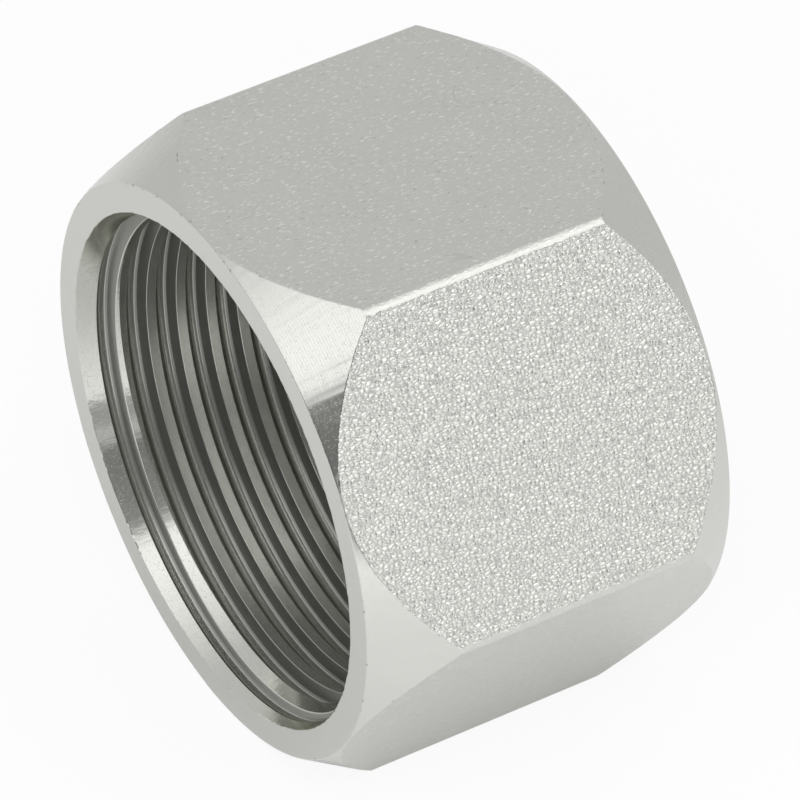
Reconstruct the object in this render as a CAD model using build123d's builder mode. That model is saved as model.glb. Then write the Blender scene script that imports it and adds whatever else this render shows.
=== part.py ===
from build123d import *
import os
from math import radians, tan

# A female protection cap for a 37 degree flare fitting, turned from hexagonal steel bar.
# It lies on one flat of its hexagon: the thread axis runs along Y at the height of half
# the wrench size, the open mouth faces -Y and the closed end faces +Y. The origin is on
# the surface that it lies on, under the middle of the part. All sizes are in millimetres.

# Hexagon and its two turned ends
across_flats = 37.5      # wrench size, for a 1-1/2 inch spanner
length = 25.6            # from the mouth face to the back face
corner_round = 0.4       # rolled edge of the hexagonal bar
mouth_face_dia = 37.4    # where the chamfer meets the mouth face
mouth_chamfer = 30.5     # between the chamfer cone and the thread axis, in degrees
back_face_dia = 37.2     # the same two sizes at the closed end
back_chamfer = 33.5

# Bore for a 1-5/16 inch thread with 12 turns to the inch, cut to its minor diameter
bore_dia = 31.6
mouth_dia = 33.5         # wide end of the lead-in bevel
bevel_length = 2.6       # depth at which the bevel meets the bore
thread_end = 13.4        # depth at which the last full turn runs out

# Run-out groove behind the thread, wider than the thread's roots
groove_dia = 34.0
groove_length = 2.4
groove_round = 0.5

# Conical seat that closes on the nose of the fitting, and the blind floor inside it
seat_dia = 30.4
seat_angle = 74.0        # included angle of the cone
seat_depth = 4.4
floor_round = 0.6

# Sizes that follow
axis_height = across_flats / 2
corner_radius = across_flats / 3 ** 0.5
blank_radius = corner_radius + 1.0
mouth_cone = (blank_radius - mouth_face_dia / 2) / tan(radians(mouth_chamfer))
back_cone = (blank_radius - back_face_dia / 2) / tan(radians(back_chamfer))
groove_end = thread_end + groove_length
seat_end = groove_end + seat_depth
floor_dia = seat_dia - 2 * seat_depth * tan(radians(seat_angle / 2))

# The hexagon is drawn on the mouth plane and runs back into the part. The turned
# profiles are drawn on the level plane through the axis, radius along X, depth along Y.
mouth_plane = Plane(origin=(0, -length / 2, axis_height), x_dir=(1, 0, 0), z_dir=(0, 1, 0))
turning_plane = Plane(origin=(0, -length / 2, axis_height), x_dir=(1, 0, 0), z_dir=(0, 0, 1))
thread_axis = Axis((0, -length / 2, axis_height), (0, 1, 0))

# Hexagonal bar, with the rolled radius along its six corners
with BuildPart() as threaded_cap:
    with BuildSketch(mouth_plane):
        RegularPolygon(radius=across_flats / 2, side_count=6, major_radius=False)
    extrude(amount=length)
    fillet(threaded_cap.edges().filter_by(Axis.Y), radius=corner_round)

    # Both ends are turned to a cone, which leaves a curved edge across each flat
    with BuildSketch(turning_plane):
        with BuildLine():
            Polyline(
                (0, 0),
                (mouth_face_dia / 2, 0),
                (blank_radius, mouth_cone),
                (blank_radius, length - back_cone),
                (back_face_dia / 2, length),
                (0, length),
                close=True,
            )
        make_face()
    revolve(axis=thread_axis, mode=Mode.INTERSECT)

    # The inside: lead-in bevel, thread bore, run-out groove, conical seat and flat floor
    with BuildSketch(turning_plane) as inside:
        with BuildLine():
            Polyline(
                (0, 0),
                (mouth_dia / 2, 0),
                (bore_dia / 2, bevel_length),
                (bore_dia / 2, thread_end),
                (groove_dia / 2, thread_end + (groove_dia - bore_dia) / 2),
                (groove_dia / 2, groove_end),
                (seat_dia / 2, groove_end),
                (floor_dia / 2, seat_end),
                (0, seat_end),
                close=True,
            )
        make_face()
        groove_corner = inside.vertices().sort_by_distance((groove_dia / 2, groove_end))[0]
        fillet(groove_corner, radius=groove_round)
        floor_corner = inside.vertices().sort_by_distance((floor_dia / 2, seat_end))[0]
        fillet(floor_corner, radius=floor_round)
    revolve(axis=thread_axis, mode=Mode.SUBTRACT)

os.makedirs("parts", exist_ok=True)
threaded_cap.part.label = "threaded_cap"
export_step(threaded_cap.part, "parts/threaded_cap.step")
print("volume", round(threaded_cap.part.volume / 1000, 2), "cm3")
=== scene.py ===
import bpy
from math import cos, pi, radians, sin, tan
from mathutils import Matrix, Vector


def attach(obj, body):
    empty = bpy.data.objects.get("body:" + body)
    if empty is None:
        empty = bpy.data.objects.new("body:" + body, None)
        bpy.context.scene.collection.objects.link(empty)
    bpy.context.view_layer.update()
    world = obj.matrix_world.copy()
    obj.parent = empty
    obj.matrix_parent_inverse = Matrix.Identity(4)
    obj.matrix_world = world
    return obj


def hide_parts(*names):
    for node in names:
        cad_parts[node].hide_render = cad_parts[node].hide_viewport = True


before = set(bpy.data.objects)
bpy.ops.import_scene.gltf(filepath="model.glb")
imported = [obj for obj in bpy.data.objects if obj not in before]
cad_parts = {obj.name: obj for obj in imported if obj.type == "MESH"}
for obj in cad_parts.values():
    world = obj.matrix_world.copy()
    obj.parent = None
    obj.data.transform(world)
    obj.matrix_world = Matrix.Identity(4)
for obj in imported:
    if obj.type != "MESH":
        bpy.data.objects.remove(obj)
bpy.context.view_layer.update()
MM = 0.001

# ---------------------------------------------------------------------------------------
# The cap: one piece of hexagonal steel bar, plated bright. Both ends are turned to a cone,
# and the inside is bored, bevelled at the mouth, threaded 12 turns to the inch, relieved
# by a groove behind the thread and closed by a 74 degree seat.
# ---------------------------------------------------------------------------------------

# Sizes that the cap's shape and its finishes share
half_flats = 18.75 * MM
length = 25.6 * MM
mouth_radius = 16.76 * MM    # wide end of the lead-in bevel
bore_radius = 15.8 * MM      # the crests of the thread
root_radius = 16.67 * MM
bevel_length = 2.6 * MM


def calc(tree, operation, *values):
    """One Math node in a tree. Values are numbers or sockets; the result is its socket."""
    node = tree.nodes.new("ShaderNodeMath")
    node.operation = operation
    for slot, value in enumerate(values):
        if isinstance(value, bpy.types.NodeSocket):
            tree.links.new(value, node.inputs[slot])
        else:
            node.inputs[slot].default_value = value
    return node.outputs[0]


def node_in(tree, kind, links=None, **settings):
    """A node of this kind. Settings are its properties; links fill its inputs by name."""
    node = tree.nodes.new(kind)
    for name, value in settings.items():
        setattr(node, name, value)
    for name, value in (links or {}).items():
        if isinstance(value, bpy.types.NodeSocket):
            tree.links.new(value, node.inputs[name])
        else:
            node.inputs[name].default_value = value
    return node


def ramp(tree, value, start, end, fade="SMOOTHSTEP"):
    """0 where the value is at its start and 1 where it is at its end."""
    node = node_in(tree, "ShaderNodeMapRange", {
        "Value": value, "From Min": start, "From Max": end,
    }, interpolation_type=fade)
    return node.outputs[0]


def noise(tree, vector, scale, detail, roughness=0.5):
    """A Noise texture that swings about 0.5. Its scale counts features per unit of vector."""
    node = node_in(tree, "ShaderNodeTexNoise", {
        "Vector": vector, "Scale": scale, "Detail": detail, "Roughness": roughness,
    })
    return node.outputs[0]


def off_axis(tree, place):
    """Distance from the thread axis of a place that is split into its coordinates."""
    square = calc(tree, "MULTIPLY", place.outputs[0], place.outputs[0])
    square = calc(tree, "MULTIPLY_ADD", place.outputs[2], place.outputs[2], square)
    return calc(tree, "SQRT", square)


def new_group(name, kind, inputs, outputs):
    """A node group with named inputs and outputs; returns it with its two end nodes."""
    group = bpy.data.node_groups.new(name, kind)
    new_socket = group.interface.new_socket
    for label, socket, value in inputs:
        made = new_socket(name=label, in_out="INPUT", socket_type="NodeSocket" + socket)
        if value is not None:
            made.default_value = value
    for label, socket in outputs:
        new_socket(name=label, in_out="OUTPUT", socket_type="NodeSocket" + socket)
    return group, group.nodes.new("NodeGroupInput"), group.nodes.new("NodeGroupOutput")


# Finishes: one plating covers the whole cap. Under it, one pair of flats is grit blasted
# and the others keep the skin of the drawn bar, the ends are turned on a lathe, and the
# thread is cut with a single point tool. Their coordinates start on the thread axis at the
# mouth face, and Y is the depth.

# Plating: a cool silver, a little uneven in tone and in gloss, with a few fine hairlines
# and with flecks that stand up from it
silver = (0.66, 0.665, 0.63, 1)
plating, given, result = new_group(
    "plating_tone",
    "ShaderNodeTree",
    [
        ("Vector", "Vector", None),
        ("Colour", "Color", silver),
        ("Tone Change", "Float", 0.05),
        ("Roughness", "Float", 0.2),
        ("Roughness Change", "Float", 0.05),
        ("Hairlines", "Float", -0.08),
        ("Fleck Size", "Float", 0.10 * MM),
    ],
    [("Colour", "Color"), ("Roughness", "Float"), ("Fleck", "Float")],
)
cloud = noise(plating, given.outputs["Vector"], 260.0, 3.0, 0.55)
swing = calc(plating, "SUBTRACT", cloud, 0.5)
tone = calc(plating, "MULTIPLY_ADD", swing, given.outputs["Tone Change"], 1.0)
wander = noise(plating, given.outputs["Vector"], 330.0, 1.0)
off_line = calc(plating, "ABSOLUTE", calc(plating, "SUBTRACT", wander, 0.5))
line = ramp(plating, off_line, 0.007, 0.002)
handled = ramp(plating, noise(plating, given.outputs["Vector"], 210.0, 2.0), 0.54, 0.60)
hairline = calc(plating, "MULTIPLY", line, handled)
tone = calc(plating, "MULTIPLY_ADD", hairline, given.outputs["Hairlines"], tone)
toned = node_in(plating, "ShaderNodeVectorMath", {
    0: given.outputs["Colour"], "Scale": tone,
}, operation="SCALE")
plating.links.new(toned.outputs[0], result.inputs["Colour"])
gloss_change = calc(plating, "MULTIPLY", swing, given.outputs["Roughness Change"])
gloss = calc(plating, "ADD", given.outputs["Roughness"], gloss_change)
plating.links.new(gloss, result.inputs["Roughness"])
fleck_scale = calc(plating, "DIVIDE", 1.0, given.outputs["Fleck Size"])
flecks = noise(plating, given.outputs["Vector"], fleck_scale, 1.0)
plating.links.new(ramp(plating, flecks, 0.65, 0.72), result.inputs["Fleck"])

# Lathe marks: fine rings round the thread axis, counted along the depth on a cone or a
# bore and along the radius on a face, with streaks that run a long way round the axis
lathe, given, result = new_group(
    "lathe_marks",
    "ShaderNodeTree",
    [
        ("Vector", "Vector", None),
        ("Across Face", "Float", 0.0),
        ("Pitch", "Float", 0.15 * MM),
        ("Waver", "Float", 0.3),
        ("Streaks Round", "Float", 1.4),
        ("Streaks per Turn", "Float", 0.9),
    ],
    [("Height", "Float"), ("Streak", "Float")],
)
place = node_in(lathe, "ShaderNodeSeparateXYZ", {0: given.outputs["Vector"]})
radius = off_axis(lathe, place)
step = calc(lathe, "SUBTRACT", radius, place.outputs[1])
step = calc(lathe, "MULTIPLY_ADD", step, given.outputs["Across Face"], place.outputs[1])
turns = calc(lathe, "DIVIDE", step, given.outputs["Pitch"])
share = calc(lathe, "DIVIDE", given.outputs["Streaks Round"], radius)
around = node_in(lathe, "ShaderNodeCombineXYZ", {
    0: calc(lathe, "MULTIPLY", place.outputs[0], share),
    1: calc(lathe, "MULTIPLY", turns, given.outputs["Streaks per Turn"]),
    2: calc(lathe, "MULTIPLY", place.outputs[2], share),
})
streak = noise(lathe, around.outputs[0], 1.0, 2.0, 0.6)
phase = calc(lathe, "MULTIPLY_ADD", streak, given.outputs["Waver"], turns)
ridge = calc(lathe, "SINE", calc(lathe, "MULTIPLY", phase, 2 * pi))
lathe.links.new(calc(lathe, "MULTIPLY_ADD", ridge, 0.25, streak), result.inputs["Height"])
lathe.links.new(streak, result.inputs["Streak"])

# Blast grain: pebbles a quarter of a millimetre wide with creases between them, each a
# little longer along the bar
grain, given, result = new_group(
    "blast_grain",
    "ShaderNodeTree",
    [
        ("Vector", "Vector", None),
        ("Grain Size", "Float", 0.265 * MM),
        ("Bend", "Float", 0.14 * MM),
    ],
    [("Height", "Float"), ("Crease", "Float")],
)
grain_scale = calc(grain, "DIVIDE", 1.0, given.outputs["Grain Size"])
longer = node_in(grain, "ShaderNodeVectorMath", {
    0: given.outputs["Vector"], 1: (1, 0.86, 1),
}, operation="MULTIPLY").outputs[0]
bends = node_in(grain, "ShaderNodeTexNoise", {
    "Vector": longer, "Scale": calc(grain, "MULTIPLY", grain_scale, 0.8), "Detail": 1.0,
})
bent = node_in(grain, "ShaderNodeVectorMath", {
    0: bends.outputs["Color"], 1: given.outputs["Bend"], 2: longer,
}, operation="MULTIPLY_ADD")
cells = node_in(grain, "ShaderNodeTexVoronoi", {
    "Vector": bent.outputs[0], "Scale": grain_scale,
}, feature="DISTANCE_TO_EDGE")
dome = ramp(grain, cells.outputs["Distance"], 0.0, 0.38, "SMOOTHERSTEP")
lumps = noise(grain, longer, calc(grain, "MULTIPLY", grain_scale, 0.5), 3.0, 0.6)
grain.links.new(calc(grain, "MULTIPLY_ADD", dome, 0.32, lumps), result.inputs["Height"])
grain.links.new(ramp(grain, cells.outputs["Distance"], 0.15, 0.02), result.inputs["Crease"])

# Drawn skin: the smooth skin of the bar, with short scratches and pits along its length
drawn, given, result = new_group(
    "drawn_skin",
    "ShaderNodeTree",
    [
        ("Vector", "Vector", None),
        ("Scratch Length", "Float", 0.20 * MM),
        ("Scratch Width", "Float", 0.08 * MM),
    ],
    [("Height", "Float"), ("Scratch", "Float"), ("Pit", "Float")],
)
place = node_in(drawn, "ShaderNodeSeparateXYZ", {0: given.outputs["Vector"]})
stretched = node_in(drawn, "ShaderNodeCombineXYZ", {
    0: calc(drawn, "DIVIDE", place.outputs[0], given.outputs["Scratch Width"]),
    1: calc(drawn, "DIVIDE", place.outputs[1], given.outputs["Scratch Length"]),
    2: calc(drawn, "DIVIDE", place.outputs[2], given.outputs["Scratch Width"]),
})
marks = noise(drawn, stretched.outputs[0], 0.5, 2.0)
drawn.links.new(marks, result.inputs["Height"])
drawn.links.new(ramp(drawn, marks, 0.585, 0.70), result.inputs["Scratch"])
drawn.links.new(ramp(drawn, marks, 0.32, 0.26), result.inputs["Pit"])

# Nicks: small dents along the rim of the mouth face and along the ends of the flats
nicks, given, result = new_group(
    "edge_nicks",
    "ShaderNodeTree",
    [
        ("Vector", "Vector", None),
        ("Rim Radius", "Float", 18.66 * MM),
        ("Half Flats", "Float", half_flats),
        ("Half Length", "Float", length / 2),
        ("Nick Size", "Float", 0.42 * MM),
    ],
    [("Nick", "Float")],
)
place = node_in(nicks, "ShaderNodeSeparateXYZ", {0: given.outputs["Vector"]})
off_rim = calc(nicks, "SUBTRACT", off_axis(nicks, place), given.outputs["Rim Radius"])
off_rim = calc(nicks, "ABSOLUTE", off_rim)
near_rim = ramp(nicks, off_rim, 0.09 * MM, 0.05 * MM, "LINEAR")
in_front = calc(nicks, "LESS_THAN", place.outputs[1], given.outputs["Half Length"])
upright = calc(nicks, "MULTIPLY", place.outputs[2], 0.5)
widest = calc(nicks, "ABSOLUTE", place.outputs[2])
for side in (cos(pi / 6), -cos(pi / 6)):
    facing = calc(nicks, "MULTIPLY_ADD", place.outputs[0], side, upright)
    widest = calc(nicks, "MAXIMUM", widest, calc(nicks, "ABSOLUTE", facing))
off_flat = calc(nicks, "SUBTRACT", given.outputs["Half Flats"], widest)
near_flat = ramp(nicks, off_flat, 0.07 * MM, 0.03 * MM, "LINEAR")
near = calc(nicks, "MAXIMUM", calc(nicks, "MULTIPLY", near_rim, in_front), near_flat)
dent_scale = calc(nicks, "DIVIDE", 1.0, given.outputs["Nick Size"])
dent = ramp(nicks, noise(nicks, given.outputs["Vector"], dent_scale, 2.0), 0.60, 0.66)
nicks.links.new(calc(nicks, "MULTIPLY", near, dent), result.inputs["Nick"])

# Chatter: fine uneven streaks along the axis that the tool leaves inside the bore. Flank
# is 1 on the flanks of the thread, which the tool tears a little, and Inward grows from
# 0 at the bevel to 1 a turn further in, sooner in the grooves than on the crests. Both masks also
# carry the painted shade in the bore.
chatter, given, result = new_group(
    "bore_chatter",
    "ShaderNodeTree",
    [
        ("Vector", "Vector", None),
        ("Streaks", "Float", 46.0),
        ("Streak Length", "Float", 0.9 * MM),
        ("Crest Radius", "Float", bore_radius),
        ("Root Radius", "Float", root_radius),
        ("Mouth Radius", "Float", mouth_radius),
        ("Bevel Slope", "Float", (mouth_radius - bore_radius) / bevel_length),
    ],
    [("Height", "Float"), ("Flank", "Float"), ("Inward", "Float")],
)
place = node_in(chatter, "ShaderNodeSeparateXYZ", {0: given.outputs["Vector"]})
radius = off_axis(chatter, place)
share = calc(chatter, "DIVIDE", given.outputs["Streaks"], radius)
around = node_in(chatter, "ShaderNodeCombineXYZ", {
    0: calc(chatter, "MULTIPLY", place.outputs[0], share),
    1: calc(chatter, "DIVIDE", place.outputs[1], given.outputs["Streak Length"]),
    2: calc(chatter, "MULTIPLY", place.outputs[2], share),
})
chatter.links.new(noise(chatter, around.outputs[0], 1.0, 3.0), result.inputs["Height"])
bevel = calc(chatter, "MULTIPLY", place.outputs[1], given.outputs["Bevel Slope"])
bevel = calc(chatter, "SUBTRACT", given.outputs["Mouth Radius"], bevel)
crest = calc(chatter, "MAXIMUM", bevel, given.outputs["Crest Radius"])
below_crest = calc(chatter, "SUBTRACT", radius, crest)
sunk = ramp(chatter, below_crest, 0.02 * MM, 0.08 * MM, "LINEAR")
above_root = calc(chatter, "SUBTRACT", given.outputs["Root Radius"], radius)
off_root = ramp(chatter, above_root, 0.03 * MM, 0.09 * MM, "LINEAR")
chatter.links.new(calc(chatter, "MULTIPLY", sunk, off_root), result.inputs["Flank"])
inward = calc(chatter, "MULTIPLY_ADD", sunk, 2 * MM, place.outputs[1])
chatter.links.new(ramp(chatter, inward, 2.4 * MM, 4.2 * MM), result.inputs["Inward"])


def plated_steel(name, roughness, change=0.05, colour=silver):
    """A metal material with the plating's colour. Change is how far its tone and its
    roughness swing. Returns it with its tree, its shader, the plating and coordinates."""
    material = bpy.data.materials.new(name)
    material.use_nodes = True
    tree = material.node_tree
    shader = tree.nodes["Principled BSDF"]
    shader.inputs["Metallic"].default_value = 1.0
    where = node_in(tree, "ShaderNodeTexCoord")
    centre = node_in(tree, "ShaderNodeMapping", {
        "Vector": where.outputs["Object"], "Location": (0, length / 2, -half_flats),
    })
    plate = node_in(tree, "ShaderNodeGroup", {
        "Vector": centre.outputs[0],
        "Colour": colour,
        "Tone Change": change,
        "Roughness": roughness,
        "Roughness Change": change,
    }, node_tree=plating)
    tree.links.new(plate.outputs["Colour"], shader.inputs["Base Color"])
    tree.links.new(plate.outputs["Roughness"], shader.inputs["Roughness"])
    return material, tree, shader, plate, centre.outputs[0]


def shade_by(tree, shader, factor):
    """Multiplies a material's colour by a factor that changes over the surface."""
    base = shader.inputs["Base Color"].links[0].from_socket
    shaded = node_in(tree, "ShaderNodeVectorMath", {0: base, "Scale": factor}, operation="SCALE")
    tree.links.new(shaded.outputs[0], shader.inputs["Base Color"])


def emboss(tree, shader, height, distance):
    """Raises a material's surface by its height times the distance."""
    bump = node_in(tree, "ShaderNodeBump", {"Height": height, "Distance": distance})
    tree.links.new(bump.outputs[0], shader.inputs["Normal"])


def darken_nicks(tree, shader, spot, nick_tone=-0.38):
    """Darkens a material's colour where its edges are nicked."""
    dents = node_in(tree, "ShaderNodeGroup", {"Vector": spot}, node_tree=nicks)
    shade_by(tree, shader, calc(tree, "MULTIPLY_ADD", dents.outputs["Nick"], nick_tone, 1.0))


# The flats. Only one pair of opposite flats is blasted, and the grit stops short of their
# rolled corners, at an edge that wanders with the pebbles.
grit_reach = 10.46 * MM      # from the middle of a flat
grit_fade = 0.06 * MM
grit_wander = 0.3 * MM
pebble_middle = 0.66
pair_inner = 18.55 * MM      # the pair lies further out than this
grit_tone = 0.22             # how much lighter or darker each mark is than the plating
# Painted shade in the creases between the blast's pebbles
crease_painted_shade = -0.40
# Painted glint: the skin's scratches are raised in the bump, and their colour is also lightened as if
# they caught the light
scratch_painted_glint = 0.25
pit_tone = -0.28
grit_relief = 0.14 * MM
skin_relief = 0.04 * MM
blasted, tree, shader, plate, spot = plated_steel("blasted_plating", 0.26)
pebbles = node_in(tree, "ShaderNodeGroup", {"Vector": spot}, node_tree=grain)
skin = node_in(tree, "ShaderNodeGroup", {"Vector": spot}, node_tree=drawn)
across = node_in(tree, "ShaderNodeVectorMath", {
    0: spot, 1: (cos(pi / 6), 0, sin(pi / 6)),
}, operation="DOT_PRODUCT")
along = node_in(tree, "ShaderNodeVectorMath", {
    0: spot, 1: (-sin(pi / 6), 0, cos(pi / 6)),
}, operation="DOT_PRODUCT")
lump = calc(tree, "SUBTRACT", pebbles.outputs["Height"], pebble_middle)
off_middle = calc(tree, "ABSOLUTE", along.outputs["Value"])
off_middle = calc(tree, "MULTIPLY_ADD", lump, grit_wander, off_middle)
grit = ramp(tree, off_middle, grit_reach + grit_fade, grit_reach - grit_fade)
on_pair = calc(tree, "GREATER_THAN", calc(tree, "ABSOLUTE", across.outputs["Value"]), pair_inner)
grit = calc(tree, "MULTIPLY", grit, on_pair)
smooth_skin = calc(tree, "SUBTRACT", 1.0, grit)
# The blasted tone: lighter grit, with painted shade darkening the creases between pebbles
blast_tone_and_shade = calc(tree, "MULTIPLY_ADD", pebbles.outputs["Crease"], crease_painted_shade, grit_tone)
# The skin's tone: scratches lightened as a painted glint, and pits darker
skin_marks_and_glint = calc(tree, "MULTIPLY", skin.outputs["Scratch"], scratch_painted_glint)
skin_marks_and_glint = calc(tree, "MULTIPLY_ADD", skin.outputs["Pit"], pit_tone, skin_marks_and_glint)
tone = calc(tree, "MULTIPLY_ADD", blast_tone_and_shade, grit, 1.0)
tone = calc(tree, "MULTIPLY_ADD", skin_marks_and_glint, smooth_skin, tone)
shade_by(tree, shader, tone)
coarse = calc(tree, "MULTIPLY", lump, calc(tree, "MULTIPLY", grit, grit_relief))
fine = calc(tree, "MULTIPLY", smooth_skin, skin_relief)
fine = calc(tree, "MULTIPLY", skin.outputs["Height"], fine)
emboss(tree, shader, calc(tree, "ADD", coarse, fine), 1.0)

# The turned cones
streak_gloss = 0.22
fleck_share = 0.7            # height of a fleck beside that of the lathe marks
turned_relief = 0.0065 * MM
turned, tree, shader, plate, spot = plated_steel("turned_plating", 0.15)
marks = node_in(tree, "ShaderNodeGroup", {"Vector": spot}, node_tree=lathe)
streaky = calc(tree, "SUBTRACT", marks.outputs["Streak"], 0.5)
rough = calc(tree, "MULTIPLY_ADD", streaky, streak_gloss, plate.outputs["Roughness"])
tree.links.new(rough, shader.inputs["Roughness"])
height = calc(tree, "MULTIPLY_ADD", plate.outputs["Fleck"], fleck_share, marks.outputs["Height"])
emboss(tree, shader, height, turned_relief)
darken_nicks(tree, shader, spot)

# The faced ends
faced_relief = 0.002 * MM
faced, tree, shader, plate, spot = plated_steel(
    "faced_plating", 0.22, colour=(0.625, 0.63, 0.596, 1)
)
marks = node_in(tree, "ShaderNodeGroup", {"Vector": spot, "Across Face": 1.0}, node_tree=lathe)
emboss(tree, shader, marks.outputs["Height"], faced_relief)
darken_nicks(tree, shader, spot)

# The bore. Its colour is darkened as painted shade on the flanks of the thread and deeper
# in the bore; the torn flanks are also rougher than its crests, and flecks show on the crests alone
flank_painted_shade = -0.50
flank_gloss = 0.18
inward_painted_shade = -0.07
inward_gloss = 0.05
inward_metal = -0.08
crest_metal = 0.95
fleck_share = 0.5
bore_relief = 0.009 * MM
threaded, tree, shader, plate, spot = plated_steel(
    "threaded_plating", 0.15, change=0.08, colour=(0.66, 0.665, 0.625, 1)
)
marks = node_in(tree, "ShaderNodeGroup", {"Vector": spot}, node_tree=chatter)
# Painted shade: the flanks of the thread are darkened, as the grooves fall into shade
shade_by(tree, shader, calc(tree, "MULTIPLY_ADD", marks.outputs["Flank"], flank_painted_shade, 1.0))
# Painted shade: the colour darkens deeper into the bore, where less light reaches
shade_by(tree, shader, calc(tree, "MULTIPLY_ADD", marks.outputs["Inward"], inward_painted_shade, 1.0))
rough = calc(tree, "MULTIPLY_ADD", marks.outputs["Flank"], flank_gloss, plate.outputs["Roughness"])
rough = calc(tree, "MULTIPLY_ADD", marks.outputs["Inward"], inward_gloss, rough)
tree.links.new(rough, shader.inputs["Roughness"])
metal = calc(tree, "MULTIPLY_ADD", marks.outputs["Inward"], inward_metal, crest_metal)
tree.links.new(metal, shader.inputs["Metallic"])
shader.inputs["Specular Tint"].default_value = (0.8, 0.8, 0.73, 1)
shader.inputs["Specular IOR Level"].default_value = 0.2
raised = calc(tree, "MULTIPLY_ADD", marks.outputs["Flank"], -fleck_share, fleck_share)
height = calc(tree, "MULTIPLY_ADD", plate.outputs["Fleck"], raised, marks.outputs["Height"])
emboss(tree, shader, height, bore_relief)

# Shape: its sizes and its finishes are the inputs of one tree of Geometry Nodes, which
# wraps four strips of mesh round the thread axis and welds them into one closed skin
mouth_chamfer = 30.5         # between each cone and the thread axis, in degrees
back_chamfer = 33.5
cap_sizes = {
    "Half Flats": half_flats,
    "Length": length,
    "Corner Round": 0.72 * MM,
    "Mouth Face Radius": 18.7 * MM,
    "Mouth Chamfer Slope": tan(radians(mouth_chamfer)),
    "Back Face Radius": 18.6 * MM,
    "Back Chamfer Slope": tan(radians(back_chamfer)),
    "Edge Break": 0.06 * MM,
    "Mouth Radius": mouth_radius,
    "Bore Radius": bore_radius,
    "Bevel Length": bevel_length,
    "Thread End": 13.4 * MM,
    "Pitch": 25.4 / 12 * MM,
    "Root Radius": root_radius,
    "Crest Land": 0.66 * MM,
    "First Crest": 2.483 * MM,
    "Groove Radius": 17.0 * MM,
    "Groove End": 15.8 * MM,
    "Groove Round": 0.5 * MM,
    "Seat Radius": 15.2 * MM,
    "Seat End": 20.2 * MM,
    "Floor Radius": 11.88 * MM,
    "Floor Round": 0.6 * MM,
    "Lip": 0.08 * MM,
    "Raggedness": 0.20 * MM,
}
cap_finishes = {"Flats": blasted, "Cones": turned, "Faces": faced, "Inside": threaded}

body, given, result = new_group(
    "turned_and_threaded_cap",
    "GeometryNodeTree",
    [("Columns", "Int", 820), ("Crowding", "Float", 0.6), ("Seed", "Int", 4)]
    + [(name, "Float", value) for name, value in cap_sizes.items()]
    + [(name, "Material", None) for name in cap_finishes],
    [("Geometry", "Geometry")],
)
size = given.outputs


def c(operation, *values):
    """One Math node in the cap's tree."""
    return calc(body, operation, *values)


# Where a point of a grid is: its angle round the axis, closer together at the six
# corners of the hexagon, and its row along the profile
grid_place = node_in(body, "GeometryNodeInputPosition")
grid_xyz = node_in(body, "ShaderNodeSeparateXYZ", {0: grid_place.outputs[0]})
bunched = c("SINE", c("MULTIPLY", grid_xyz.outputs[0], 6.0))
angle = c("MULTIPLY_ADD", bunched, c("DIVIDE", size["Crowding"], -6.0), grid_xyz.outputs[0])
row = grid_xyz.outputs[1]

# Radius of the hexagon at that angle, with its rolled corners
sixth = pi / 3
nearest_corner = c("MULTIPLY", c("ROUND", c("DIVIDE", angle, sixth)), sixth)
from_corner = c("ABSOLUTE", c("SUBTRACT", angle, nearest_corner))
flat_radius = c("DIVIDE", size["Half Flats"], c("COSINE", c("SUBTRACT", pi / 6, from_corner)))
round_centre = c("DIVIDE", c("SUBTRACT", size["Half Flats"], size["Corner Round"]), cos(pi / 6))
chord = c("MULTIPLY", round_centre, c("SINE", from_corner))
past_chord = c("MULTIPLY", size["Corner Round"], size["Corner Round"])
past_chord = c("SUBTRACT", past_chord, c("MULTIPLY", chord, chord))
past_chord = c("SQRT", c("MAXIMUM", past_chord, 0.0))
round_radius = c("MULTIPLY_ADD", round_centre, c("COSINE", from_corner), past_chord)
tangent_rise = c("MULTIPLY", size["Corner Round"], 0.5)
tangent_run = c("MULTIPLY_ADD", size["Corner Round"], cos(pi / 6), round_centre)
on_round = c("LESS_THAN", from_corner, c("ARCTAN2", tangent_rise, tangent_run))
hexagon = c("MULTIPLY_ADD", on_round, c("SUBTRACT", round_radius, flat_radius), flat_radius)

# Small random steps along the edges, the same for every row at one angle. Those of the
# mouth's rim only go outwards.
bumps_to_radian = 44.0
mouth_share = 1.8            # of the cap's raggedness
crease_share = 0.8
ring_place = node_in(body, "ShaderNodeCombineXYZ", {
    0: c("COSINE", angle), 1: c("SINE", angle), 2: size["Seed"],
})


def edge_noise(detail, shift):
    """Noise that runs round the axis, about -0.5 to 0.5. Shift picks a stretch of it."""
    moved = node_in(body, "ShaderNodeVectorMath", {
        0: ring_place.outputs[0], 1: (0, 0, shift),
    }, operation="ADD")
    return c("SUBTRACT", noise(body, moved.outputs[0], bumps_to_radian, detail, 0.6), 0.5)


mouth_step = c("MULTIPLY", c("MAXIMUM", edge_noise(2.0, 1.3), 0.0), mouth_share)
mouth_step = c("MULTIPLY", mouth_step, size["Raggedness"])
crease_step = c("MULTIPLY", edge_noise(3.0, 5.1), crease_share)
crease_step = c("MULTIPLY", crease_step, size["Raggedness"])

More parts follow.
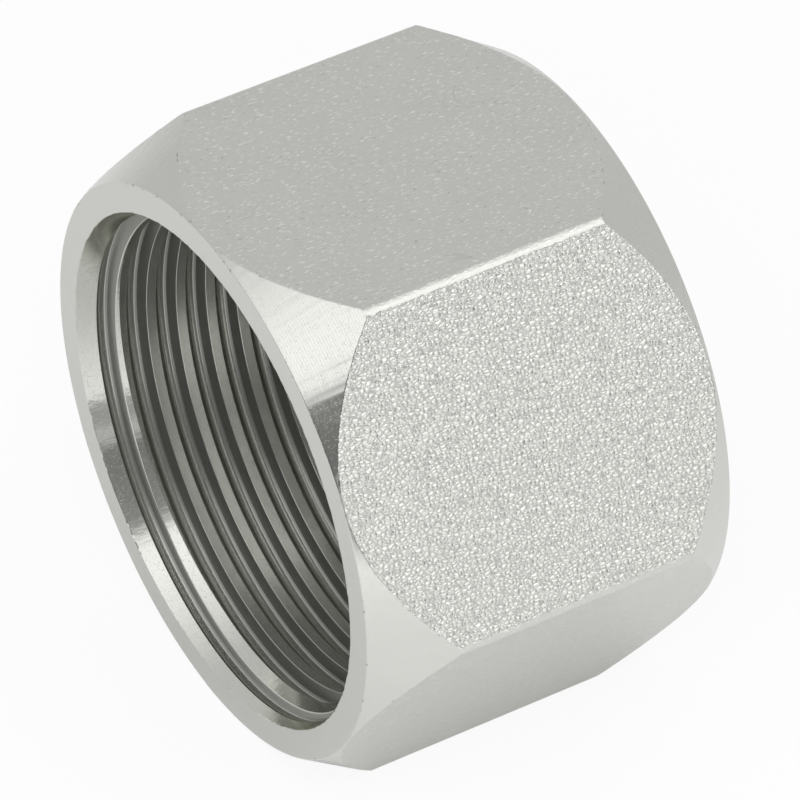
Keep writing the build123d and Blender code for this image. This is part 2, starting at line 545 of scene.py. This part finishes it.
# Thread and bevel: the radius that the tool leaves at a depth and an angle. A groove has
# two straight flanks and a round root, measured from the back edge of the ridge before it.
# The first ridge has its own depth, First Crest, an eighth of a turn below -X.
front_flank = radians(21)
back_flank = radians(30)
start_angle = -0.75 * pi
half_land = c("MULTIPLY", size["Crest Land"], 0.5)
gap = c("SUBTRACT", size["Pitch"], size["Crest Land"])
root_rise = c("SUBTRACT", size["Root Radius"], size["Bore Radius"])
flank_share = tan(front_flank) + tan(back_flank)
round_share = 1 / cos(front_flank) + 1 / cos(back_flank) - flank_share
root_round = c("DIVIDE", c("SUBTRACT", gap, c("MULTIPLY", root_rise, flank_share)), round_share)
centre_rise = c("SUBTRACT", root_rise, root_round)
root_middle = c("MULTIPLY_ADD", centre_rise, tan(back_flank), c("DIVIDE", root_round, cos(back_flank)))
root_start = c("MULTIPLY_ADD", root_round, -cos(back_flank), root_middle)
root_end = c("MULTIPLY_ADD", root_round, cos(front_flank), root_middle)
bevel_rise = c("SUBTRACT", size["Mouth Radius"], size["Bore Radius"])
bevel_slope = c("DIVIDE", bevel_rise, size["Bevel Length"])
lead = c("MULTIPLY", size["Pitch"], c("DIVIDE", c("SUBTRACT", angle, start_angle), 2 * pi))
first_crest = c("SUBTRACT", size["First Crest"], lead)
first_gap = c("ADD", first_crest, half_land)


def cut_radius(depth):
    """Radius of the bevelled thread at this depth."""
    behind = c("FLOORED_MODULO", c("SUBTRACT", depth, first_gap), size["Pitch"])
    up_front = c("DIVIDE", c("SUBTRACT", gap, behind), tan(front_flank))
    rise = c("MAXIMUM", c("MINIMUM", c("DIVIDE", behind, tan(back_flank)), up_front), 0.0)
    aside = c("SUBTRACT", behind, root_middle)
    bend = c("SUBTRACT", c("MULTIPLY", root_round, root_round), c("MULTIPLY", aside, aside))
    bend = c("ADD", centre_rise, c("SQRT", c("MAXIMUM", bend, 0.0)))
    in_root = c("MULTIPLY", c("GREATER_THAN", behind, root_start), c("LESS_THAN", behind, root_end))
    rise = c("MULTIPLY_ADD", in_root, c("SUBTRACT", bend, rise), rise)
    groove = c("ADD", size["Bore Radius"], rise)
    bevel = c("SUBTRACT", size["Mouth Radius"], c("MULTIPLY", bevel_slope, depth))
    return c("MAXIMUM", groove, bevel)


def strip(rows, radius, depth, finish, others=(), sharp=None):
    """A grid wrapped round the axis, with these radii and depths in each of its rows.
    Others are (first row, last row, finish) where the finish changes. Sharp picks the
    edges that stay crisp however little they bend."""
    grid = node_in(body, "GeometryNodeMeshGrid", {
        "Size X": 2 * pi, "Size Y": rows - 1.0, "Vertices X": size["Columns"], "Vertices Y": rows,
    })
    coat = node_in(body, "GeometryNodeSetMaterial", {
        "Geometry": grid.outputs[0], "Material": size[finish],
    })
    for first, last, name in others:
        start = first - (rows - 1) / 2
        end = last - (rows - 1) / 2
        chosen = c("MULTIPLY", c("GREATER_THAN", row, start), c("LESS_THAN", row, end))
        coat = node_in(body, "GeometryNodeSetMaterial", {
            "Geometry": coat.outputs[0], "Selection": chosen, "Material": size[name],
        })
    if sharp is not None:
        coat = node_in(body, "GeometryNodeSetShadeSmooth", {
            "Geometry": coat.outputs[0], "Selection": sharp, "Shade Smooth": False,
        }, domain="EDGE")
    place = node_in(body, "ShaderNodeCombineXYZ", {
        0: c("MULTIPLY", radius, c("COSINE", angle)),
        1: c("SUBTRACT", depth, c("MULTIPLY", size["Length"], 0.5)),
        2: c("MULTIPLY_ADD", radius, c("SINE", angle), size["Half Flats"]),
    })
    wrapped = node_in(body, "GeometryNodeSetPosition", {
        "Geometry": coat.outputs[0], "Position": place.outputs[0],
    })
    return wrapped.outputs[0]


def by_row(rows, points):
    """Radius and depth picked by the row's number from a list of (radius, depth)."""
    number = c("ROUND", c("ADD", row, (rows - 1) / 2))
    picked = []
    for part in (0, 1):
        switch = node_in(body, "GeometryNodeIndexSwitch", data_type="FLOAT")
        while len(switch.index_switch_items) < rows:
            switch.index_switch_items.new()
        body.links.new(number, switch.inputs["Index"])
        for at, point in enumerate(points):
            if isinstance(point[part], bpy.types.NodeSocket):
                body.links.new(point[part], switch.inputs[at + 1])
            else:
                switch.inputs[at + 1].default_value = point[part]
        picked.append(switch.outputs[0])
    return picked


def softened(corner_radius, corner_depth, reach, heading, turn, steps):
    """Points round a broken edge. Heading 0 is outwards along a face, 90 is along the axis."""
    arc = 1 / tan(radians(turn) / 2)
    points = []
    for part in range(steps + 1):
        turned = radians(turn) * part / steps
        ahead = arc * sin(turned) - 1
        aside = arc * (1 - cos(turned))
        out = ahead * cos(radians(heading)) - aside * sin(radians(heading))
        along = ahead * sin(radians(heading)) + aside * cos(radians(heading))
        points.append((
            c("MULTIPLY_ADD", reach, out, corner_radius),
            c("MULTIPLY_ADD", reach, along, corner_depth),
        ))
    return points


def end_profile(face_radius, chamfer, slope):
    """One end, from its face inwards: broken edge, cone, softened crease, flat."""
    cone_depth = c("DIVIDE", c("SUBTRACT", hexagon, face_radius), slope)
    crease_at = c("ADD", cone_depth, crease_step)
    reach = c("MINIMUM", size["Edge Break"], c("MULTIPLY", cone_depth, 0.3))
    margin = c("MULTIPLY", reach, 1.5)
    cone_margin = c("MULTIPLY", margin, slope)
    return (
        [(c("SUBTRACT", face_radius, margin), 0.0)]
        + softened(face_radius, 0.0, reach, 0, 90 - chamfer, 3)
        + [(c("ADD", face_radius, cone_margin), margin)]
        + [(c("SUBTRACT", hexagon, cone_margin), c("SUBTRACT", crease_at, margin))]
        + softened(hexagon, crease_at, reach, 90 - chamfer, chamfer, 2)
        + [(hexagon, c("ADD", crease_at, margin))]
    )


# Outside, from the middle of the closed end to the inner edge of the mouth face. A face's
# finish reaches half way round its broken edge, and the flats start in their creases.
front = end_profile(size["Mouth Face Radius"], mouth_chamfer, size["Mouth Chamfer Slope"])
back = end_profile(size["Back Face Radius"], back_chamfer, size["Back Chamfer Slope"])
back = [(radius, c("SUBTRACT", size["Length"], depth)) for radius, depth in back]
mouth_edge = c("ADD", size["Mouth Radius"], mouth_step)
mid_lip = c("MULTIPLY", size["Lip"], 0.6)
rim = [(mouth_edge, 0.0), (cut_radius(mid_lip), mid_lip), (cut_radius(size["Lip"]), size["Lip"])]
outside = [(0.0, size["Length"])] + back + front[::-1] + rim
rows = len(outside)
rim_start = rows - len(rim)
half_edge = 3.5              # rows from a face's inner end to half way round its edge
radius, depth = by_row(rows, outside)
shell = strip(rows, radius, depth, "Cones", [
    (-1, half_edge, "Faces"),
    (len(back) - 2, len(back) + 3, "Flats"),
    (rim_start - half_edge, rim_start, "Faces"),
    (rim_start, rows, "Inside"),
])

# Thread, twelve rows to a turn: round root, front flank, both sides of the crest land with
# a broken edge, back flank and round root. The bevel cuts the crests nearest the mouth.
turns = 8
per_turn = 12
bevel_row = 6
rows = turns * per_turn + 1
number = c("ROUND", c("ADD", row, (rows - 1) / 2))
ridge = c("SUBTRACT", c("FLOOR", c("DIVIDE", number, per_turn)), 1.0)
point = c("SUBTRACT", number, c("MULTIPLY", c("ADD", ridge, 1.0), per_turn))
crest = c("MULTIPLY_ADD", ridge, size["Pitch"], first_crest)
land_start = c("SUBTRACT", crest, half_land)
land_end = c("ADD", crest, half_land)
tilt = c("MULTIPLY_ADD", bevel_slope, bevel_slope, 1.0)
crisp_edge = 0.015 * MM


def bevelled_root(middle):
    """Where the bevel cuts the round root centred at this depth: first and last depth,
    and the width of the broken edge that fits there."""
    over = c("SUBTRACT", c("SUBTRACT", bevel_rise, centre_rise), c("MULTIPLY", bevel_slope, middle))
    over = c("MAXIMUM", over, 0.0)
    inside = c("MULTIPLY", c("MULTIPLY", root_round, root_round), tilt)
    inside = c("SUBTRACT", inside, c("MULTIPLY", over, over))
    half_open = c("DIVIDE", c("SQRT", c("MAXIMUM", inside, 0.0)), tilt)
    centre = c("ADD", middle, c("DIVIDE", c("MULTIPLY", over, bevel_slope), tilt))
    first = c("SUBTRACT", centre, half_open)
    last = c("ADD", centre, half_open)
    return first, last, c("MINIMUM", c("MULTIPLY", half_open, 0.4), crisp_edge)


def choose(is_so, then, otherwise):
    """Then where the condition is 1, otherwise where it is 0."""
    return c("MULTIPLY_ADD", is_so, c("SUBTRACT", then, otherwise), otherwise)


def between(value, low, high):
    """The value held between two limits."""
    return c("MINIMUM", c("MAXIMUM", value, low), high)


front_middle = c("SUBTRACT", land_start, c("SUBTRACT", gap, root_middle))
front_foot = c("SUBTRACT", land_start, c("SUBTRACT", gap, root_end))
front_rise = c("SUBTRACT", c("DIVIDE", land_start, tan(front_flank)), bevel_rise)
front_cut = c("DIVIDE", front_rise, c("SUBTRACT", 1 / tan(front_flank), bevel_slope))
front_cut = c("MINIMUM", front_cut, land_start)
front_first, front_last, front_nick = bevelled_root(front_middle)
front_edge = choose(c("LESS_THAN", front_cut, front_foot), front_last, front_cut)
front_lip = c("MULTIPLY_ADD", front_nick, -0.5, front_edge)
front_low = c("MULTIPLY_ADD", front_nick, 0.5, front_first)

back_middle = c("ADD", land_end, root_middle)
back_foot = c("ADD", land_end, root_start)
back_rise = c("ADD", c("DIVIDE", land_end, tan(back_flank)), bevel_rise)
back_cut = c("DIVIDE", back_rise, c("ADD", 1 / tan(back_flank), bevel_slope))
back_cut = c("MAXIMUM", back_cut, land_end)
back_first, back_last, back_nick = bevelled_root(back_middle)
back_edge = choose(c("GREATER_THAN", back_cut, back_foot), back_first, back_cut)
back_lip = c("MULTIPLY_ADD", back_nick, 0.5, back_edge)
back_high = c("MULTIPLY_ADD", back_nick, -0.5, back_last)

edge_in = c("ADD", front_edge, front_nick)
edge_out = c("SUBTRACT", back_edge, back_nick)
front_arc = pi / 2 - front_flank
back_arc = pi / 2 - back_flank
steps = node_in(body, "GeometryNodeIndexSwitch", {"Index": point}, data_type="FLOAT")
thread_points = [
    between(front_middle, front_low, front_lip),
    between(c("MULTIPLY_ADD", root_round, sin(front_arc / 3), front_middle), front_low, front_lip),
    between(c("MULTIPLY_ADD", root_round, sin(front_arc * 2 / 3), front_middle), front_low, front_lip),
    c("MINIMUM", front_foot, front_lip),
    front_lip,
    edge_in,
    between(size["Bevel Length"], edge_in, edge_out),
    edge_out,
    back_lip,
    c("MAXIMUM", back_foot, back_lip),
    between(c("MULTIPLY_ADD", root_round, -sin(back_arc * 2 / 3), back_middle), back_lip, back_high),
    between(c("MULTIPLY_ADD", root_round, -sin(back_arc / 3), back_middle), back_lip, back_high),
]
while len(steps.index_switch_items) < len(thread_points):
    steps.index_switch_items.new()
for at, thread_point in enumerate(thread_points):
    body.links.new(thread_point, steps.inputs[at + 1])

# Points that fall past either end of the thread, or this close to it, move onto the end
snap = 0.03 * MM
to_end = c("SUBTRACT", size["Thread End"], steps.outputs[0])
to_end = c("MULTIPLY", to_end, c("GREATER_THAN", to_end, snap))
depth = c("SUBTRACT", c("SUBTRACT", size["Thread End"], to_end), size["Lip"])
depth = c("MULTIPLY_ADD", depth, c("GREATER_THAN", depth, snap), size["Lip"])
thread = strip(rows, cut_radius(depth), depth, "Inside", sharp=c("COMPARE", point, bevel_row, 0.1))

# Run-out of the thread, where the groove's 45 degree side cuts across its turns
rows = 12
along = c("DIVIDE", c("ADD", row, (rows - 1) / 2), rows - 1.0)
climb = c("MULTIPLY", along, c("SUBTRACT", size["Groove Radius"], size["Bore Radius"]))
depth = c("ADD", size["Thread End"], climb)
radius = c("MAXIMUM", cut_radius(depth), c("ADD", size["Bore Radius"], climb))
run_out = strip(rows, radius, depth, "Inside")

# Groove with its round, step, conical seat with its round, and the blind floor
round_steps = 5
groove_inner = c("SUBTRACT", size["Groove Radius"], size["Groove Round"])
groove_inward = c("SUBTRACT", size["Groove End"], size["Groove Round"])
groove_start = c("ADD", size["Thread End"], c("SUBTRACT", size["Groove Radius"], size["Bore Radius"]))
inner_end = [(size["Groove Radius"], groove_start)]
for part in range(round_steps + 1):
    bend = part / round_steps * pi / 2
    inner_end.append((
        c("MULTIPLY_ADD", size["Groove Round"], cos(bend), groove_inner),
        c("MULTIPLY_ADD", size["Groove Round"], sin(bend), groove_inward),
    ))
seat_start = len(inner_end)
inner_end.append((size["Seat Radius"], size["Groove End"]))
seat_turn = radians(90 - 74 / 2)
floor_inner = c("MULTIPLY_ADD", size["Floor Round"], -tan(seat_turn / 2), size["Floor Radius"])
floor_inward = c("SUBTRACT", size["Seat End"], size["Floor Round"])
for part in range(round_steps + 1):
    bend = seat_turn * (1 - part / round_steps)
    inner_end.append((
        c("MULTIPLY_ADD", size["Floor Round"], sin(bend), floor_inner),
        c("MULTIPLY_ADD", size["Floor Round"], cos(bend), floor_inward),
    ))
floor_start = len(inner_end) - 1
inner_end.append((0.0, size["Seat End"]))
rows = len(inner_end)
radius, depth = by_row(rows, inner_end)
seat = strip(rows, radius, depth, "Inside", [
    (seat_start, floor_start, "Cones"), (floor_start, rows, "Faces"),
])

# All strips share their columns, so their edges meet point for point and are welded
joined = node_in(body, "GeometryNodeJoinGeometry")
for part in (seat, run_out, thread, shell):
    body.links.new(part, joined.inputs[0])
welded = node_in(body, "GeometryNodeMergeByDistance", {
    "Geometry": joined.outputs[0], "Distance": 0.002 * MM,
})
smooth = node_in(body, "GeometryNodeSetShadeSmooth", {
    "Geometry": welded.outputs[0], "Shade Smooth": True,
})
bend_angle = node_in(body, "GeometryNodeInputMeshEdgeAngle")
is_crisp = c("GREATER_THAN", bend_angle.outputs[0], radians(22))
crisp = node_in(body, "GeometryNodeSetShadeSmooth", {
    "Geometry": smooth.outputs[0], "Selection": is_crisp, "Shade Smooth": False,
}, domain="EDGE")
solid = node_in(body, "GeometryNodeRealizeInstances", {"Geometry": crisp.outputs[0]})
body.links.new(solid.outputs[0], result.inputs[0])

blank = bpy.data.objects.new("cap_blank", bpy.data.meshes.new("cap_blank"))
bpy.context.scene.collection.objects.link(blank)
turning = blank.modifiers.new("turning", "NODES")
turning.node_group = body
for item in body.interface.items_tree:
    if item.in_out == "INPUT" and item.name in cap_finishes:
        turning[item.identifier] = cap_finishes[item.name]
    elif item.in_out == "INPUT" and item.name in cap_sizes:
        turning[item.identifier] = cap_sizes[item.name]
view = bpy.context.evaluated_depsgraph_get()
cap = bpy.data.objects.new("finished_cap", bpy.data.meshes.new_from_object(blank.evaluated_get(view)))
bpy.data.objects.remove(blank)
cap.data.materials.pop(index=0)
bpy.context.scene.collection.objects.link(cap)
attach(cap, "root")
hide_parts("threaded_cap")

# ---------------------------------------------------------------------------------------
# Studio: a white table under a light tent. The tent is evenly pale and brighter overhead
# and along the right, with a dark opening on the camera's side.
# ---------------------------------------------------------------------------------------
cap_centre = Vector((0, 0, half_flats))


def towards(azimuth, elevation):
    """Unit vector from the cap; azimuth 0 is the -Y side, 90 is the +X side."""
    turn = radians(azimuth)
    rise = radians(elevation)
    return Vector((sin(turn) * cos(rise), -cos(turn) * cos(rise), sin(rise)))


table_reach = 2.5
table_corners = [
    (-table_reach, -table_reach, 0),
    (table_reach, -table_reach, 0),
    (table_reach, table_reach, 0),
    (-table_reach, table_reach, 0),
]
table_mesh = bpy.data.meshes.new("studio_table")
table_mesh.from_pydata(table_corners, [], [(0, 1, 2, 3)])
table = bpy.data.objects.new("studio_table", table_mesh)
bpy.context.scene.collection.objects.link(table)
paper = bpy.data.materials.new("white_table")
paper.use_nodes = True
tree = paper.node_tree
tree.nodes.remove(tree.nodes["Principled BSDF"])
matt = node_in(tree, "ShaderNodeBsdfDiffuse", {"Color": (0.74, 0.74, 0.74, 1)})
white = node_in(tree, "ShaderNodeEmission", {"Color": (1, 1, 1, 1), "Strength": 1.0})

# How much of the table is plain white: most of it to the camera, which leaves the shadow,
# and little of it in the cap, which reflects the table as it is lit
white_to_camera = 0.9
white_in_cap = 0.1
rays = node_in(tree, "ShaderNodeLightPath")
to_camera = calc(tree, "MULTIPLY", rays.outputs["Is Camera Ray"], white_to_camera)
whiteness = calc(tree, "MULTIPLY", rays.outputs["Is Glossy Ray"], white_in_cap)
whiteness = calc(tree, "MAXIMUM", whiteness, to_camera)
whiteness = calc(tree, "MAXIMUM", whiteness, rays.outputs["Is Transmission Ray"])
mixed = node_in(tree, "ShaderNodeMixShader", {
    0: whiteness, 1: matt.outputs[0], 2: white.outputs[0],
})
tree.links.new(mixed.outputs[0], tree.nodes["Material Output"].inputs["Surface"])
table_mesh.materials.append(paper)

world = bpy.data.worlds.new("light_tent")
bpy.context.scene.world = world
world.use_nodes = True
tree = world.node_tree
backdrop = tree.nodes["Background"]
outlook = node_in(tree, "ShaderNodeTexCoord")


def lobe(azimuth, elevation, inner, outer, fade="SMOOTHSTEP"):
    """1 within the inner angle of a direction, fading to 0 at the outer angle."""
    along = node_in(tree, "ShaderNodeVectorMath", {
        0: outlook.outputs["Generated"], 1: towards(azimuth, elevation),
    }, operation="DOT_PRODUCT")
    aside = calc(tree, "ARCCOSINE", along.outputs["Value"])
    return ramp(tree, aside, radians(outer), radians(inner), fade)


def above(value, limit, edge):
    """0 below the limit and 1 above it, fading over so many degrees on either side."""
    return ramp(tree, calc(tree, "SUBTRACT", value, limit), radians(-edge), radians(edge))


# The tent's own level, and how much brighter it is overhead and along the right
tent_level = 0.69
panel_gain = 0.80
panels = calc(tree, "MAXIMUM", lobe(28, 57, 0, 54, "LINEAR"), lobe(114, 58, 12, 66))
level = calc(tree, "MULTIPLY_ADD", panels, panel_gain, tent_level)

# The opening takes most of the light away. Its top rises towards the right, and there a
# pale bar crosses its lower part and gives some light back, as does what lies below it.
opening_loss = 0.78
opening_left = radians(-14)
opening_right = radians(88)
top_ahead = radians(16.8)
top_rise = 0.7
top_limit = radians(54)
bar_left = radians(44)
bar_bottom = radians(9.5)
bar_top = radians(17)
under_top = radians(10)
bar_gain = 0.8
under_gain = 0.4
heading = node_in(tree, "ShaderNodeSeparateXYZ", {0: outlook.outputs["Generated"]})
ahead = calc(tree, "MULTIPLY", heading.outputs[1], -1.0)
turned_to = calc(tree, "ARCTAN2", heading.outputs[0], ahead)
height = calc(tree, "ARCSINE", heading.outputs[2])
opening_top = calc(tree, "MULTIPLY_ADD", turned_to, top_rise, top_ahead)
opening_top = calc(tree, "MINIMUM", opening_top, top_limit)
dark = calc(tree, "MULTIPLY", above(turned_to, opening_left, 3), above(opening_right, turned_to, 3))
dark = calc(tree, "MULTIPLY", dark, above(opening_top, height, 5))
bar = calc(tree, "MULTIPLY", above(height, bar_bottom, 1.5), above(bar_top, height, 1.5))
bar = calc(tree, "MULTIPLY", bar, above(turned_to, bar_left, 3))
dark = calc(tree, "MULTIPLY", dark, calc(tree, "MULTIPLY_ADD", bar, -bar_gain, 1.0))
under = calc(tree, "MULTIPLY", above(under_top, height, 2), above(turned_to, bar_left, 3))
dark = calc(tree, "MULTIPLY", dark, calc(tree, "MULTIPLY_ADD", under, -under_gain, 1.0))
level = calc(tree, "MULTIPLY", level, calc(tree, "MULTIPLY_ADD", dark, -opening_loss, 1.0))

# To the camera the tent is plain white
rays = node_in(tree, "ShaderNodeLightPath")
to_white = calc(tree, "SUBTRACT", 1.0, level)
level = calc(tree, "MULTIPLY_ADD", rays.outputs["Is Camera Ray"], to_white, level)
tree.links.new(level, backdrop.inputs["Strength"])
backdrop.inputs["Color"].default_value = (1, 1, 1, 1)

# A soft lamp on the right that only lifts the table on that side
lamp_data = bpy.data.lights.new("side_lamp", "AREA")
lamp_data.shape = "DISK"
lamp_data.size = 160 * MM
lamp_data.energy = 0.30
lamp = bpy.data.objects.new("side_lamp", lamp_data)
lamp.location = (150 * MM, -110 * MM, 170 * MM)
lamp_aim = Vector((45 * MM, -40 * MM, 0)) - lamp.location
lamp.rotation_euler = lamp_aim.to_track_quat("-Z", "Y").to_euler()
lamp.visible_glossy = False
lamp.visible_camera = False
bpy.context.scene.collection.objects.link(lamp)

# Camera: a long lens from the mouth's right, above the rim
camera_azimuth = 59.330
camera_elevation = 41.498
camera_distance = 494.74 * MM
camera_roll = radians(-0.295)
aim_right = 0.573 * MM
aim_up = 0.022 * MM
backwards = towards(camera_azimuth, camera_elevation)
level_right = Vector((0, 0, 1)).cross(backwards).normalized()
level_up = backwards.cross(level_right)
right = level_right * cos(camera_roll) + level_up * sin(camera_roll)
up = backwards.cross(right)
eye = cap_centre + backwards * camera_distance + right * aim_right + up * aim_up
camera_data = bpy.data.cameras.new("camera")
camera_data.lens = 362.72
camera_data.sensor_width = 36.0
camera_data.clip_start = 0.01
camera = bpy.data.objects.new("camera", camera_data)
bpy.context.scene.collection.objects.link(camera)
camera_turn = Matrix((right, up, backwards)).transposed().to_4x4()
camera.matrix_world = Matrix.Translation(eye) @ camera_turn
bpy.context.scene.camera = camera
bpy.context.scene.view_settings.view_transform = "Standard"
